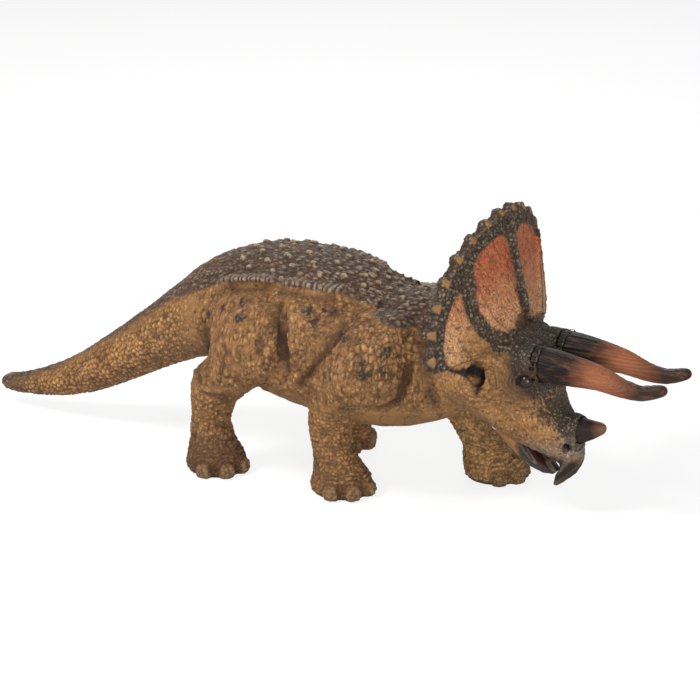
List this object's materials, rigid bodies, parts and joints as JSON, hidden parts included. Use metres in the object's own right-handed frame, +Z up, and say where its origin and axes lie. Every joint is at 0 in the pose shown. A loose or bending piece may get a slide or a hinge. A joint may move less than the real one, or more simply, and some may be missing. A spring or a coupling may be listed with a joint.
{
  "type": "toy dinosaur figure",
  "caption": "Walking horned dinosaur toy with a raised neck frill, long brow horns, a thick tail, plugged-in legs and a lower jaw that opens on a pin.",
  "frame": {"origin": "on the floor, under the middle of the figure's bounding box", "axes": "+X from the tail to the snout, +Y to the figure's left, +Z up"},
  "size_m": [0.2295, 0.0732, 0.0877],
  "materials": {
    "back_vinyl": "matte vinyl, dark brown with a pale dry brush",
    "hide_vinyl": "matte vinyl, tan with a brown wash",
    "head_vinyl": "matte vinyl, brown with orange frill patches",
    "horn_vinyl": "satin vinyl, dark brown to orange",
    "beak_vinyl": "satin vinyl, dark grey",
    "pin_steel": "drawn wire"
  },
  "bodies": {
    "figure": {"torso": "back_vinyl", "tail": "hide_vinyl", "right_hind_leg": "hide_vinyl", "left_hind_leg": "hide_vinyl", "right_foreleg": "hide_vinyl", "left_foreleg": "hide_vinyl", "head": "head_vinyl", "right_brow_horn": "horn_vinyl", "left_brow_horn": "horn_vinyl", "nose_horn": "horn_vinyl", "jaw_pin": "pin_steel"},
    "jaw": {"lower_jaw": "beak_vinyl"}
  },
  "joints": [
    {"name": "jaw_hinge", "type": "hinge", "parent": "figure", "child": "jaw", "pos_m": [0.06268, 0, 0.02555], "axis": [0, 1, 0], "range_deg": [-6, 14]}
  ]
}
